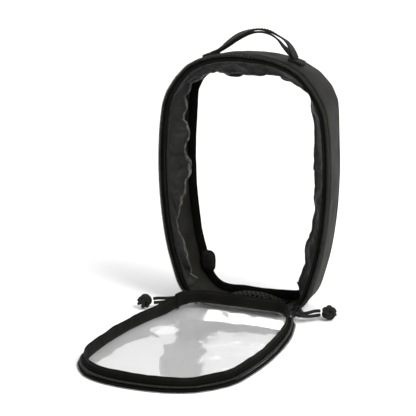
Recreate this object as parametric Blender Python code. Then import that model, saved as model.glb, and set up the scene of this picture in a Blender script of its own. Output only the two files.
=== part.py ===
"""Windowed tank bag standing on its lower end, with its zip lid folded open on the ground.

Metres, +Z up. The origin is the centre of the bag's base. The zipped front faces -Y and the
lid lies towards -Y, hinged along X at the foot of the front opening.
"""

import math

import bmesh
import bpy
from mathutils import Matrix, Vector

# Body
HEIGHT = 0.240
DEPTH = 0.050
FRONT = -DEPTH / 2
REAR_NARROWING = 0.095
REAR_LOWERING = 0.024
REAR_CORNER_OUT = 0.0064
REAR_CORNER_HEIGHT = 0.2130
REAR_CORNER_SPREAD = 0.0230
REAR_CORNER_FROM_X = 0.050
CORNER_X = 0.035
CORNER_RADIUS = 0.033
CORNER_END = math.radians(-17)
SIDE = [
    (0.0744, 0.049), (0.0790, 0.072), (0.0824, 0.100), (0.0838, 0.130), (0.0832, 0.155),
    (0.0812, 0.178), (0.0757, 0.200), (0.0560, 0.2255), (0.0300, 0.2370), (0.0, HEIGHT),
]
GAP = 0.0003
WALL = 0.0016

# Zip
ZIP_START = math.radians(-64)
COIL = 0.0022
COIL_FRONT = FRONT - 0.0016
COIL_CHAMFER = 0.0006
TAPE = 0.0008
TAPE_OUTER = 0.0003
TAPE_INNER = 0.0066
STOP_SIZE = (0.0030, 0.0022, 0.0030)
STOP_AT = ZIP_START - math.radians(6)
SLIDER_AT = math.radians(-52)
SLIDER_SIZE = (0.011, 0.0032, 0.008)
SLIDER_BACK = FRONT - 0.0024
BRIDGE_RADIUS = 0.0032
BRIDGE_WIRE = 0.00075
PULLER_LENGTH = 0.011
PULLER_HEIGHT = 0.0072
PULLER_WIRE = 0.0007
PULLER_ANGLE = {"right": math.radians(-36), "left": math.radians(216)}

# Facing band inside the opening, as (inset, depth behind the front)
FACING_INNER = 0.0200
FACING_DEPTH = 0.0220
FACING_PROFILE = [
    (0.0069, 0.0024), (0.0071, 0.0090), (FACING_INNER, FACING_DEPTH),
    (FACING_INNER + 0.0008, FACING_DEPTH - 0.0009), (0.0080, 0.0086), (0.0077, 0.0024),
]
HEM = 0.0013

# Gusset and piping, as depths behind the front
GUSSET_DEPTHS = (0.0049, 0.0140, 0.0250, 0.0360, 0.0480)
PIPING_DEPTH = 0.0033
PIPING_RADIUS = 0.0013
PIPING_SIDES = 8

# Rear panel
BORDER = 0.0085
PANEL_INSET = 0.0022
REAR = DEPTH / 2 - 0.0003
BORDER_THICKNESS = 0.0014
FILM = 0.0008
FILM_BACK = REAR - BORDER_THICKNESS - 0.0003
BINDING_BACK = FILM_BACK - FILM - 0.0003
BINDING_THICKNESS = 0.0013
MAGNET_RADIUS = 0.0050
MAGNET_THICKNESS = 0.0025
POCKET_RADIUS = 0.0065
POCKET_HEIGHT = 0.0040
POCKET_WALL = 0.0008
POCKET_BACK = BINDING_BACK - BINDING_THICKNESS - 0.0003
MAGNET_SPOTS = [(-0.0535, 0.0300), (0.0535, 0.0300), (-0.0280, 0.2165), (0.0280, 0.2165)]

# Floor mesh
MESH_HALF_X = 0.0290
MESH_Y = (-0.0150, 0.0170)
MESH_THICKNESS = 0.0012

# Lid
HINGE = Vector((0, FRONT - 0.0030, 0.0030))
LID_START = FRONT - 0.0020
LID_WIDTH = 0.925
LID_LENGTH = 0.965
RIM_HEIGHT = 0.0125
RIM_INSET = 0.0052
RIM_WALL = 0.0016
RIM_FOOT = 0.0006
LID_FILM = 0.0008
LID_ZIP_START = math.radians(-34)
LID_TAPE = ((0.0040, 0.0029), (0.0049, 0.0029), (0.0049, 0.0080), (0.0040, 0.0080))
LID_COIL = (
    (0.0014, 0.0033), (0.0014, 0.0055), (0.0022, 0.0059), (0.0037, 0.0055), (0.0037, 0.0033),
    (0.0022, 0.0029),
)
HINGE_STRIP = (2 * CORNER_X, 0.0028, 0.0010)
HINGE_STRIP_AT = (0, FRONT - 0.0018, 0.0008)

# Handle
HANDLE_ENDS = 0.0410
HANDLE_WIDTH = 0.0120
HANDLE_END_WIDTH = 0.0040
HANDLE_TAPER = 0.0100
HANDLE_LIFT = 0.0062
HANDLE_THICKNESS = 0.0036
ARCH = [
    (-0.0410, 0.0), (-0.0370, 0.0057), (-0.0285, 0.0115), (-0.0180, 0.0168), (-0.0040, 0.0202),
    (0.0080, 0.0205), (0.0195, 0.0180), (0.0290, 0.0120), (0.0372, 0.0055), (0.0410, 0.0),
]
TAB_SIZE = (0.014, 0.013, 0.0012)
TAB_LIFT = 0.0022

# Pull cords, each folded through its puller and knotted at its two ends
CORD = 0.0031
KNOT_RADIUS = 0.0072
KNOTS = {"right": Vector((0.0831, -0.0192, 0.0074)), "left": Vector((-0.0850, -0.0545, 0.0074))}
CORD_ROUTES = {
    "right": [
        (0.0757, -0.0227, 0.0091), (0.0738, -0.0243, 0.0093), (0.0718, -0.0262, 0.0093),
        (0.0698, -0.0282, 0.0090), (0.0676, -0.0302, 0.0085), (0.0652, -0.0318, 0.0081),
        (0.0627, -0.0327, 0.0079), (0.0604, -0.0335, 0.0079), (0.0590, -0.0352, 0.0079),
        (0.0591, -0.0375, 0.0079), (0.0605, -0.0397, 0.0079), (0.0628, -0.0409, 0.0078),
        (0.0652, -0.0400, 0.0075), (0.0672, -0.0377, 0.0070), (0.0689, -0.0349, 0.0065),
        (0.0706, -0.0320, 0.0061), (0.0725, -0.0290, 0.0058), (0.0744, -0.0262, 0.0057),
        (0.0762, -0.0241, 0.0058),
    ],
    "left": [
        (-0.0782, -0.0499, 0.0092), (-0.0760, -0.0478, 0.0094), (-0.0736, -0.0457, 0.0092),
        (-0.0715, -0.0434, 0.0088), (-0.0694, -0.0409, 0.0083), (-0.0673, -0.0385, 0.0080),
        (-0.0651, -0.0360, 0.0079), (-0.0626, -0.0343, 0.0079), (-0.0602, -0.0340, 0.0079),
        (-0.0588, -0.0355, 0.0079), (-0.0588, -0.0377, 0.0079), (-0.0603, -0.0396, 0.0079),
        (-0.0630, -0.0408, 0.0077), (-0.0658, -0.0419, 0.0073), (-0.0687, -0.0435, 0.0066),
        (-0.0716, -0.0457, 0.0061), (-0.0745, -0.0481, 0.0058), (-0.0775, -0.0503, 0.0057),
    ],
}


def clear_scene():
    for obj in list(bpy.data.objects):
        bpy.data.objects.remove(obj, do_unlink=True)


def catmull(points, steps, closed=False):
    """Points along a smooth curve through the given ones."""
    pts = [Vector(p) for p in points]
    count = len(pts)
    out = []
    for i in range(count if closed else count - 1):
        a = pts[i - 1] if closed or i > 0 else 2 * pts[0] - pts[1]
        b, c = pts[i], pts[(i + 1) % count]
        d = pts[(i + 2) % count] if closed or i + 2 < count else 2 * pts[-1] - pts[-2]
        for k in range(steps):
            t = k / steps
            out.append(
                0.5 * (2 * b + (c - a) * t + (2 * a - 5 * b + 4 * c - d) * t**2
                       + (3 * b - a - 3 * c + d) * t**3)
            )
    return out if closed else out + [pts[-1]]


def corner_point(angle, radius=CORNER_RADIUS):
    return Vector((CORNER_X + radius * math.cos(angle), CORNER_RADIUS + radius * math.sin(angle)))


def half_outline():
    """From the middle of the foot, up the right side, to the middle of the top, as (x, z)."""
    arc_steps = 9
    arc = [
        corner_point(-math.pi / 2 + (CORNER_END + math.pi / 2) * k / arc_steps)
        for k in range(arc_steps)
    ]
    side = [corner_point(CORNER_END)] + SIDE
    top = Vector((-SIDE[-2][0], SIDE[-2][1]))
    curve = catmull(side + [top], 2)
    return [Vector((0, 0)), Vector((0.018, 0))] + arc + curve[: 2 * len(SIDE) + 1]


def bag_outline():
    half = half_outline()
    return half + [Vector((-p.x, p.y)) for p in reversed(half[1:-1])]


def inset(points, by):
    """The closed outline moved inwards."""
    count = len(points)
    out = []
    for i, p in enumerate(points):
        along = (points[(i + 1) % count] - points[i - 1]).normalized()
        out.append(p + by * Vector((-along.y, along.x)))
    return out


OUTLINE = bag_outline()


def section(y, by=0.0):
    """The body's outline at a depth, inset. It narrows to the rear, where its top is squarer."""
    back = (y - FRONT) / DEPTH
    shape = []
    for p in OUTLINE:
        corner = math.exp(-(((p.y - REAR_CORNER_HEIGHT) / REAR_CORNER_SPREAD) ** 2))
        side = max(-1.0, min(1.0, p.x / REAR_CORNER_FROM_X))
        x = p.x * (1 - REAR_NARROWING * back) + REAR_CORNER_OUT * back * corner * side
        shape.append(Vector((x, p.y * (1 - REAR_LOWERING * back))))
    return [Vector((p.x, y, p.y)) for p in inset(shape, by)]


def lid_section(z, by=0.0):
    """The lid's outline at a height above the ground, inset, as points in space."""
    shape = [Vector((p.x * LID_WIDTH, p.y * LID_LENGTH)) for p in OUTLINE]
    return [Vector((p.x, LID_START - p.y, z)) for p in inset(shape, by)]


def zip_run(rail, start):
    """The stretch of a rail from the right foot corner round the top to the left one."""
    low = corner_point(start).y
    first = next(i for i, p in enumerate(OUTLINE) if p.x > 0 and p.y > low)
    return rail[first : len(OUTLINE) - first + 1]


def material(name, colour, roughness, metallic=0.0, alpha=1.0):
    if name in bpy.data.materials:
        return bpy.data.materials[name]
    mat = bpy.data.materials.new(name)
    mat.use_nodes = True
    shader = mat.node_tree.nodes["Principled BSDF"]
    shader.inputs["Base Color"].default_value = (*colour, 1)
    shader.inputs["Roughness"].default_value = roughness
    shader.inputs["Metallic"].default_value = metallic
    shader.inputs["Alpha"].default_value = alpha
    return mat


MATERIALS = {
    "shell": ((0.030, 0.029, 0.027), 0.85),
    "binding": ((0.014, 0.014, 0.013), 0.80),
    "facing": ((0.017, 0.017, 0.016), 0.60),
    "hem": ((0.30, 0.30, 0.30), 0.60),
    "zip_tape": ((0.010, 0.010, 0.009), 0.85),
    "zip_coil": ((0.012, 0.012, 0.011), 0.40),
    "vinyl": ((0.90, 0.91, 0.90), 0.06, 0.0, 0.25),
    "mesh": ((0.012, 0.012, 0.012), 0.65),
    "webbing": ((0.020, 0.020, 0.019), 0.70),
    "cord": ((0.012, 0.012, 0.012), 0.75),
    "slider": ((0.020, 0.020, 0.020), 0.35, 0.8),
    "magnet": ((0.60, 0.60, 0.62), 0.25, 1.0),
}


def finish(bm, name, slot, origin=(0, 0, 0), flat=False):
    """Turns a bmesh in world space into a named object with its origin at a point."""
    bmesh.ops.recalc_face_normals(bm, faces=bm.faces)
    mesh = bpy.data.meshes.new(name)
    bm.to_mesh(mesh)
    bm.free()
    mesh.transform(Matrix.Translation(-Vector(origin)))
    obj = bpy.data.objects.new(name, mesh)
    obj.location = origin
    bpy.context.scene.collection.objects.link(obj)
    mesh.materials.append(material(slot, *MATERIALS[slot]))
    if not flat:
        mesh.shade_smooth()
        mesh.set_sharp_from_angle(angle=math.radians(35))
    return obj


def loft(name, slot, rails, origin=(0, 0, 0), closed=True):
    """A solid whose section has one corner on each rail. An open run gets two end caps."""
    bm = bmesh.new()
    rows = [[bm.verts.new(p) for p in rail] for rail in rails]
    count = len(rails[0])
    for a, b in zip(rows, rows[1:] + rows[:1]):
        for i in range(count if closed else count - 1):
            j = (i + 1) % count
            bm.faces.new((a[i], a[j], b[j], b[i]))
    if not closed:
        bm.faces.new([row[0] for row in rows])
        bm.faces.new([row[-1] for row in rows])
    return finish(bm, name, slot, origin)


def plate(name, slot, low, high, origin=(0, 0, 0)):
    """The solid between two outlines with the same number of points."""
    bm = bmesh.new()
    rows = [[bm.verts.new(p) for p in outline] for outline in (low, high)]
    for i in range(len(low)):
        j = (i + 1) % len(low)
        bm.faces.new((rows[0][i], rows[0][j], rows[1][j], rows[1][i]))
    for row in rows:
        bm.faces.new(row)
    return finish(bm, name, slot, origin)


def block(name, slot, size, where, turn=None, origin=(0, 0, 0)):
    bm = bmesh.new()
    bmesh.ops.create_cube(bm, size=1)
    bm.transform(Matrix.Diagonal((*size, 1)))
    bm.transform(Matrix.Translation(where) @ (turn or Matrix.Identity(4)))
    return finish(bm, name, slot, origin, flat=True)


def boolean(obj, other, operation):
    modifier = obj.modifiers.new(operation.lower(), "BOOLEAN")
    modifier.operation = operation
    modifier.object = other
    other.hide_render = True
    other.display_type = "WIRE"


def tube(points, radius, sides, bm, closed):
    """Adds a round wire along points to a bmesh; an open one gets flat ends."""
    count = len(points)
    rings = []
    for i, p in enumerate(points):
        before = points[i - 1] if closed or i else points[i]
        after = points[(i + 1) % count] if closed or i + 1 < count else points[i]
        along = (after - before).normalized()
        side = along.cross(Vector((0, 0, 1)))
        if side.length < 0.5:
            side = along.cross(Vector((1, 0, 0)))
        side.normalize()
        up = side.cross(along)
        rings.append([
            bm.verts.new(p + radius * (side * math.cos(a) + up * math.sin(a)))
            for a in (2 * math.pi * k / sides for k in range(sides))
        ])
    for i in range(count if closed else count - 1):
        a, b = rings[i], rings[(i + 1) % count]
        for k in range(sides):
            n = (k + 1) % sides
            bm.faces.new((a[k], a[n], b[n], b[k]))
    if not closed:
        bm.faces.new(rings[0])
        bm.faces.new(rings[-1])


def make_shell():
    outer_y = [FRONT + d for d in GUSSET_DEPTHS]
    outer = [section(y) for y in outer_y]
    inner = [section(y, WALL) for y in reversed(outer_y)]
    shell = loft("side_gusset", "shell", outer + inner)
    middle = (MESH_Y[0] + MESH_Y[1]) / 2
    length = MESH_Y[1] - MESH_Y[0]
    cutter = block("mesh_cutter", "shell", (2 * MESH_HALF_X, length, 0.01), (0, middle, 0))
    boolean(shell, cutter, "DIFFERENCE")
    size = (2 * (MESH_HALF_X - GAP), length - 2 * GAP, MESH_THICKNESS)
    block("floor_mesh", "mesh", size, (0, middle, MESH_THICKNESS / 2))
    r = PIPING_RADIUS
    piping = [
        section(FRONT + PIPING_DEPTH - r * math.sin(a), r - r * math.cos(a))
        for a in (2 * math.pi * k / PIPING_SIDES for k in range(PIPING_SIDES))
    ]
    loft("front_piping", "binding", piping)


def make_zip():
    front, back, cut = COIL_FRONT, COIL_FRONT + COIL, COIL_CHAMFER
    coil = [section(front, cut), section(front, COIL - cut), section(front + cut, COIL),
            section(back, COIL), section(back, 0.0), section(front + cut, 0.0)]
    loft("body_zip_coil", "zip_coil", [zip_run(r, ZIP_START) for r in coil], closed=False)
    low = back + GAP
    tape = [section(low, TAPE_OUTER), section(low, TAPE_INNER),
            section(low + TAPE, TAPE_INNER), section(low + TAPE, TAPE_OUTER)]
    loft("body_zip_tape", "zip_tape", [zip_run(r, ZIP_START) for r in tape], closed=False)
    facing = [zip_run(section(FRONT + d, by), ZIP_START) for by, d in FACING_PROFILE]
    loft("facing_band", "facing", facing, closed=False)
    near, far = FRONT + FACING_DEPTH + GAP, FRONT + FACING_DEPTH + GAP + HEM
    low, high = FACING_INNER - HEM / 3, FACING_INNER + HEM * 0.8
    hem = [section(near, low), section(near, high), section(far, high), section(far, low)]
    loft("facing_hem", "hem", [zip_run(r, ZIP_START) for r in hem], closed=False)


def make_rear():
    film = [section(y, PANEL_INSET) for y in (FILM_BACK - FILM, FILM_BACK)]
    plate("rear_window", "vinyl", *film)
    for name, low, high, edge in (
        ("rear_border", REAR - BORDER_THICKNESS, REAR, 0.0),
        ("rear_binding", BINDING_BACK - BINDING_THICKNESS, BINDING_BACK, PANEL_INSET),
    ):
        rails = [section(low, edge), section(low, BORDER), section(high, BORDER),
                 section(high, edge)]
        loft(name, "binding", rails)
    bore, floor = MAGNET_RADIUS + 2 * GAP, POCKET_HEIGHT - POCKET_WALL
    cup = [(0.0, POCKET_HEIGHT), (POCKET_RADIUS, POCKET_HEIGHT), (POCKET_RADIUS, 0.0),
           (bore, 0.0), (bore, floor), (0.0, floor)]
    top = floor - GAP
    disc = [(0.0, top), (MAGNET_RADIUS, top), (MAGNET_RADIUS, top - MAGNET_THICKNESS),
            (0.0, top - MAGNET_THICKNESS)]
    for number, (x, z) in enumerate(MAGNET_SPOTS, 1):
        turned(f"magnet_pocket_{number}", "shell", cup, (x, POCKET_BACK, z))
        turned(f"magnet_{number}", "magnet", disc, (x, POCKET_BACK, z))


def turned(name, slot, profile, where, steps=20):
    """A round piece about the Y axis; the profile is (radius, distance towards the front)."""
    bm = bmesh.new()
    verts = [bm.verts.new((r, -d, 0)) for r, d in profile]
    edges = [bm.edges.new(pair) for pair in zip(verts, verts[1:])]
    bmesh.ops.spin(bm, geom=verts + edges, axis=(0, 1, 0), cent=(0, 0, 0),
                   angle=2 * math.pi, steps=steps)
    bmesh.ops.remove_doubles(bm, verts=bm.verts, dist=0.00001)
    bm.transform(Matrix.Translation(where))
    return finish(bm, name, slot, where)


def make_lid():
    inner = RIM_INSET + RIM_WALL
    rim = [lid_section(RIM_FOOT, RIM_INSET), lid_section(RIM_HEIGHT, RIM_INSET),
           lid_section(RIM_HEIGHT, inner), lid_section(RIM_FOOT, inner)]
    loft("lid_rim_band", "binding", rim, HINGE)
    film = [lid_section(z, inner + GAP) for z in (RIM_FOOT, RIM_FOOT + LID_FILM)]
    plate("lid_window", "vinyl", *film, HINGE)
    r = PIPING_RADIUS
    piping = [
        lid_section(r + r * math.sin(a), r - r * math.cos(a))
        for a in (2 * math.pi * k / PIPING_SIDES for k in range(PIPING_SIDES))
    ]
    for name, slot, rails in (
        ("lid_edge_piping", "binding", piping),
        ("lid_zip_tape", "zip_tape", [lid_section(z, by) for by, z in LID_TAPE]),
        ("lid_zip_coil", "zip_coil", [lid_section(z, by) for by, z in LID_COIL]),
    ):
        loft(name, slot, [zip_run(r, LID_ZIP_START) for r in rails], HINGE, closed=False)
    block("hinge_strip", "binding", HINGE_STRIP, HINGE_STRIP_AT)


def make_slider(side):
    """A slider at the foot of the zip, its wire puller, and the cord and knot on it."""
    sign = 1 if side == "right" else -1
    seat = corner_point(SLIDER_AT, CORNER_RADIUS - COIL / 2)
    thick = SLIDER_SIZE[1]
    where = Vector((sign * seat.x, SLIDER_BACK - thick / 2, seat.y))
    lean = Matrix.Rotation(-sign * (SLIDER_AT + math.pi / 2), 4, "Y")
    pivot = Vector((sign * CORNER_X, SLIDER_BACK, CORNER_RADIUS))
    slider = block(f"slider_{side}", "slider", SLIDER_SIZE, where, lean, pivot)
    face = SLIDER_BACK - thick
    bm = bmesh.new()
    bend = [
        Vector((where.x - BRIDGE_RADIUS * math.cos(a), face - BRIDGE_RADIUS * math.sin(a), where.z))
        for a in (math.pi * k / 10 for k in range(11))
    ]
    foot = Vector((0, thick / 2, 0))
    tube([bend[0] + foot] + bend + [bend[-1] + foot], BRIDGE_WIRE, 8, bm, closed=False)
    bridge = finish(bm, f"slider_bridge_{side}", "slider", pivot)
    boolean(slider, bridge, "UNION")

    eye = Vector((where.x, face - 0.0013, where.z))
    heading = Vector((math.cos(PULLER_ANGLE[side]), math.sin(PULLER_ANGLE[side]), 0))
    half = PULLER_HEIGHT / 2 - PULLER_WIRE
    reach = PULLER_LENGTH - 2 * PULLER_WIRE
    ring = []
    for k in range(20):
        a = 2 * math.pi * k / 20
        flat = abs(math.cos(a)) ** 0.6 * math.copysign(1, math.cos(a))
        tall = abs(math.sin(a)) ** 0.6 * math.copysign(1, math.sin(a))
        ring.append(eye + heading * reach * (1 - flat) / 2 + Vector((0, 0, half * tall)))
    bm = bmesh.new()
    tube(ring, PULLER_WIRE, 8, bm, closed=True)
    finish(bm, f"puller_{side}", "slider", eye)

    curve = bpy.data.curves.new(f"pull_cord_{side}", "CURVE")
    curve.dimensions = "3D"
    curve.bevel_depth = CORD / 2
    curve.bevel_resolution = 2
    curve.use_fill_caps = True
    spline = curve.splines.new("POLY")
    route = catmull(CORD_ROUTES[side], 2)
    spline.points.add(len(route) - 1)
    for point, at in zip(spline.points, route):
        point.co = (*(at - eye), 1)
    cord = bpy.data.objects.new(f"pull_cord_{side}", curve)
    cord.location = eye
    curve.materials.append(material("cord", *MATERIALS["cord"]))
    bpy.context.scene.collection.objects.link(cord)

    bm = bmesh.new()
    bmesh.ops.create_icosphere(bm, subdivisions=2, radius=KNOT_RADIUS)
    bm.transform(Matrix.Translation(KNOTS[side]))
    finish(bm, f"pull_knot_{side}", "cord", eye)

    stop = corner_point(STOP_AT, CORNER_RADIUS - COIL / 2)
    lean = Matrix.Rotation(-sign * (STOP_AT + math.pi / 2), 4, "Y")
    spot = (sign * stop.x, COIL_FRONT + COIL / 2, stop.y)
    block(f"zip_stop_{side}", "zip_coil", STOP_SIZE, spot, lean)


def top_at(x, y=0.0):
    """The height and slope of the body's top surface."""
    line = [p for p in section(y) if p.z > HEIGHT / 2]
    line.sort(key=lambda p: p.x)
    for a, b in zip(line, line[1:]):
        if a.x <= x <= b.x:
            slope = (b.z - a.z) / (b.x - a.x)
            return a.z + slope * (x - a.x), slope


def make_handle():
    """The webbing loop over the top, and the two sewn tabs that hold its ends."""
    foot = max(top_at(s * HANDLE_ENDS)[0] for s in (-1, 1)) + HANDLE_LIFT
    for side, sign in (("left", -1), ("right", 1)):
        height, slope = top_at(sign * HANDLE_ENDS)
        lean = Matrix.Rotation(-math.atan(slope), 4, "Y")
        lift = lean @ Vector((0, 0, TAB_SIZE[2] / 2 + TAB_LIFT))
        where = Vector((sign * HANDLE_ENDS, 0, height)) + lift
        block(f"handle_tab_{side}", "webbing", TAB_SIZE, where, lean)
    line = catmull(ARCH, 3)
    last = len(line) - 1
    rails = []
    for side, out in ((-1, 1), (1, 1), (1, -1), (-1, -1)):
        rail = []
        for i, p in enumerate(line):
            along = (line[min(i + 1, last)] - line[max(i - 1, 0)]).normalized()
            normal = Vector((-along.y, along.x)) * out * HANDLE_THICKNESS / 2
            from_end = min((p - line[0]).length, (p - line[last]).length)
            share = min(1.0, from_end / HANDLE_TAPER)
            width = HANDLE_END_WIDTH + (HANDLE_WIDTH - HANDLE_END_WIDTH) * share
            rail.append(Vector((p.x + normal.x, side * width / 2, foot + p.y + normal.y)))
        rails.append(rail)
    loft("grab_handle", "webbing", rails, (0, 0, foot), closed=False)


def main():
    clear_scene()
    make_shell()
    make_zip()
    make_rear()
    make_lid()
    for side in ("left", "right"):
        make_slider(side)
    make_handle()


main()
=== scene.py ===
"""Looks of the windowed tank bag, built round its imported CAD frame. Metres, +Z up."""

import math

import bmesh
import bpy
import numpy as np
from mathutils import Matrix, Vector, noise
from mathutils.geometry import convex_hull_2d


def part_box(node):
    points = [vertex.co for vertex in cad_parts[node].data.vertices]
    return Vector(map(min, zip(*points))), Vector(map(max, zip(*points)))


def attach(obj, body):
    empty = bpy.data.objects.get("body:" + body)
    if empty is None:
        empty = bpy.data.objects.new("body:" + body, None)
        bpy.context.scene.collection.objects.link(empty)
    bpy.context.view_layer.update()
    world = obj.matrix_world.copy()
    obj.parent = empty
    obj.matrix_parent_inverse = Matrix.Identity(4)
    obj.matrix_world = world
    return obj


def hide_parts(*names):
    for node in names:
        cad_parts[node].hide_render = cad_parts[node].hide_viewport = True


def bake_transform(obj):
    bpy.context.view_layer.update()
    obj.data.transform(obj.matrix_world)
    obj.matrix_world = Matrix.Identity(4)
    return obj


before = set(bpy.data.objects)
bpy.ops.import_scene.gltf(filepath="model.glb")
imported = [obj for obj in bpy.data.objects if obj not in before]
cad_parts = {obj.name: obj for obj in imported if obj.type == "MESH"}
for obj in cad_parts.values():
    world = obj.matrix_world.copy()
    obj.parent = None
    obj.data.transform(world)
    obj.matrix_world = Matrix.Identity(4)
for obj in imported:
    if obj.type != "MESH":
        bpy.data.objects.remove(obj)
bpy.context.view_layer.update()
scene = bpy.context.scene
MM = 0.001

# ---------------------------------------------------------------- camera, floor and light

AZIMUTH, ELEVATION = 23.6, 14.8
VIEW_DISTANCE = 1.9220
VIEW_TARGET = Vector((-0.0341, -0.0250, 0.0945))
LENS = 181.7


def direction(azimuth, elevation):
    a, e = math.radians(azimuth), math.radians(elevation)
    return Vector((math.sin(a) * math.cos(e), -math.cos(a) * math.cos(e), math.sin(e)))


def make_camera():
    data = bpy.data.cameras.new("camera")
    data.lens = LENS
    data.sensor_width = 36
    data.clip_end = 50
    camera = bpy.data.objects.new("camera", data)
    back = direction(AZIMUTH, ELEVATION)
    camera.location = VIEW_TARGET + back * VIEW_DISTANCE
    camera.rotation_euler = back.to_track_quat("Z", "Y").to_euler()
    scene.collection.objects.link(camera)
    scene.camera = camera


def make_light(name, kind, azimuth, elevation, strength, distance=0.0, **settings):
    """A lamp that shines on the origin from the given direction."""
    data = bpy.data.lights.new(name, kind)
    for key, value in settings.items():
        setattr(data, key, value)
    data.energy = strength
    light = bpy.data.objects.new(name, data)
    back = direction(azimuth, elevation)
    light.location = back * distance
    light.rotation_euler = back.to_track_quat("Z", "Y").to_euler()
    scene.collection.objects.link(light)


def make_stage():
    mesh = bpy.data.meshes.new("floor")
    half = 20.0
    mesh.from_pydata([(-half, -half, 0), (half, -half, 0), (half, half, 0), (-half, half, 0)], [],
                     [(0, 1, 2, 3)])
    floor = bpy.data.objects.new("floor", mesh)
    scene.collection.objects.link(floor)
    mesh.materials.append(plain("floor_white", (0.93, 0.93, 0.93), 0.7))
    world = bpy.data.worlds.new("studio")
    world.use_nodes = True
    world.node_tree.nodes["Background"].inputs["Color"].default_value = (1, 1, 1, 1)
    world.node_tree.nodes["Background"].inputs["Strength"].default_value = 0.78
    scene.world = world
    scene.view_settings.view_transform = "Standard"
    make_light("key", "AREA", 64, 46, 10, 1.7, shape="DISK", size=0.7)
    make_light("back", "AREA", 200, 40, 5, 1.8, shape="DISK", size=0.8)
    make_light("fill", "AREA", -50, 30, 2.5, 2.0, shape="DISK", size=1.2)
    make_light("window_light", "SUN", 70, 44, 1.75, angle=math.radians(35))


# ---------------------------------------------------------------- materials


class Paint:
    """A Principled material with short ways to add and join nodes."""

    def __init__(self, name, colour, roughness, metallic=0.0):
        self.mat = bpy.data.materials.new(name)
        self.mat.use_nodes = True
        self.nodes = self.mat.node_tree.nodes
        self.links = self.mat.node_tree.links
        self.shader = self.nodes["Principled BSDF"]
        self.set("Base Color", (*colour, 1))
        self.set("Roughness", roughness)
        self.set("Metallic", metallic)
        self.set("Specular IOR Level", 0.5 if metallic else 0.05)

    def set(self, socket, value):
        self.shader.inputs[socket].default_value = value

    def add(self, kind, inputs=None, **settings):
        node = self.nodes.new("ShaderNode" + kind)
        for key, value in settings.items():
            setattr(node, key, value)
        for key, value in (inputs or {}).items():
            if isinstance(value, bpy.types.NodeSocket):
                self.links.new(value, node.inputs[key])
            else:
                node.inputs[key].default_value = value
        return node

    def math(self, operation, a, b=0.0, c=0.0):
        return self.add("Math", {0: a, 1: b, 2: c}, operation=operation).outputs[0]

    def wave(self, value):
        """Rounded ridges, one for each whole step of value."""
        return self.math("ABSOLUTE", self.math("SINE", self.math("MULTIPLY", value, math.pi)))

    def blend(self, a, a_share, b, b_share):
        return self.math("ADD", self.math("MULTIPLY", a, a_share), self.math("MULTIPLY", b, b_share))

    def place(self, kind="UV", scale=(1, 1, 1), turn=0.0):
        source = self.add("TexCoord").outputs[kind]
        return self.add(
            "Mapping", {"Vector": source, "Scale": scale, "Rotation": (0, 0, turn)}
        ).outputs[0]

    def noise(self, scale, detail=3.0, kind="Object", stretch=(1, 1, 1)):
        place = self.place(kind, stretch)
        return self.add("TexNoise", {"Vector": place, "Scale": scale, "Detail": detail}).outputs[0]

    def level(self, value, low, high, a=0.0, b=1.0):
        inputs = {"Value": value, "From Min": low, "From Max": high, "To Min": a, "To Max": b}
        return self.add("MapRange", inputs).outputs[0]

    def vary(self, share, dark, light):
        """The base colour runs between two colours."""
        mix = self.add("Mix", data_type="RGBA")
        self.links.new(share, mix.inputs["Factor"])
        mix.inputs["A"].default_value = (*dark, 1)
        mix.inputs["B"].default_value = (*light, 1)
        self.links.new(mix.outputs["Result"], self.shader.inputs["Base Color"])

    def bump(self, height, distance, strength=1.0):
        before = self.shader.inputs["Normal"].links
        bump = self.add("Bump", {"Height": height, "Distance": distance, "Strength": strength})
        if before:
            self.links.new(before[0].from_socket, bump.inputs["Normal"])
        self.links.new(bump.outputs[0], self.shader.inputs["Normal"])

    def rough(self, share, low, high):
        self.links.new(self.level(share, 0, 1, low, high), self.shader.inputs["Roughness"])

    def yarns(self, pitch, kind="UV", turn=0.0, ratio=1.0):
        """Height of a plain weave: yarns that pass over and under each other."""
        place = self.place(kind, (1 / pitch, ratio / pitch, 1 / pitch), turn)
        parts = self.add("SeparateXYZ", {0: place})
        warp, weft = (self.wave(parts.outputs[axis]) for axis in (0, 1))
        over = self.add("TexChecker", {"Vector": place, "Scale": 1.0}).outputs["Fac"]
        return self.blend(warp, over, weft, self.math("SUBTRACT", 1.0, over))

    def ribs(self, pitch, axis=0, kind="UV", turn=0.0):
        place = self.place(kind, (1 / pitch,) * 3, turn)
        return self.wave(self.add("SeparateXYZ", {0: place}).outputs[axis])


def plain(name, colour, roughness):
    return Paint(name, colour, roughness).mat


def cloth_paint(name, dark, light, pitch, depth, roughness, sheen, turn=0.0, ratio=1.0, kind="UV"):
    """Woven cloth: yarns in relief, dust and rubbed patches in the colour, and painted highlight on the yarn
    crests with painted shade between the yarns.
    """
    paint = Paint(name, dark, roughness)
    yarns = paint.yarns(pitch, kind, turn, ratio)
    patches = paint.level(paint.noise(38, 4), 0.35, 0.68)
    fibre = paint.noise(2600, 2)
    # Colour share: the yarn relief gives painted highlight on the crests and painted shade between the
    # yarns; the patches are dust and rubbed wear, the fibre noise a fine fuzz.
    share = paint.blend(yarns, 0.35, patches, 0.50)
    share = paint.math("ADD", share, paint.math("MULTIPLY", paint.level(fibre, 0.45, 0.75), 0.25))
    paint.vary(share, dark, light)
    paint.rough(yarns, roughness + 0.08, roughness - 0.08)
    paint.bump(yarns, depth)
    paint.bump(fibre, 0.00005, 0.6)
    paint.set("Sheen Weight", sheen)
    paint.set("Sheen Roughness", 0.45)
    return paint.mat


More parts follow.
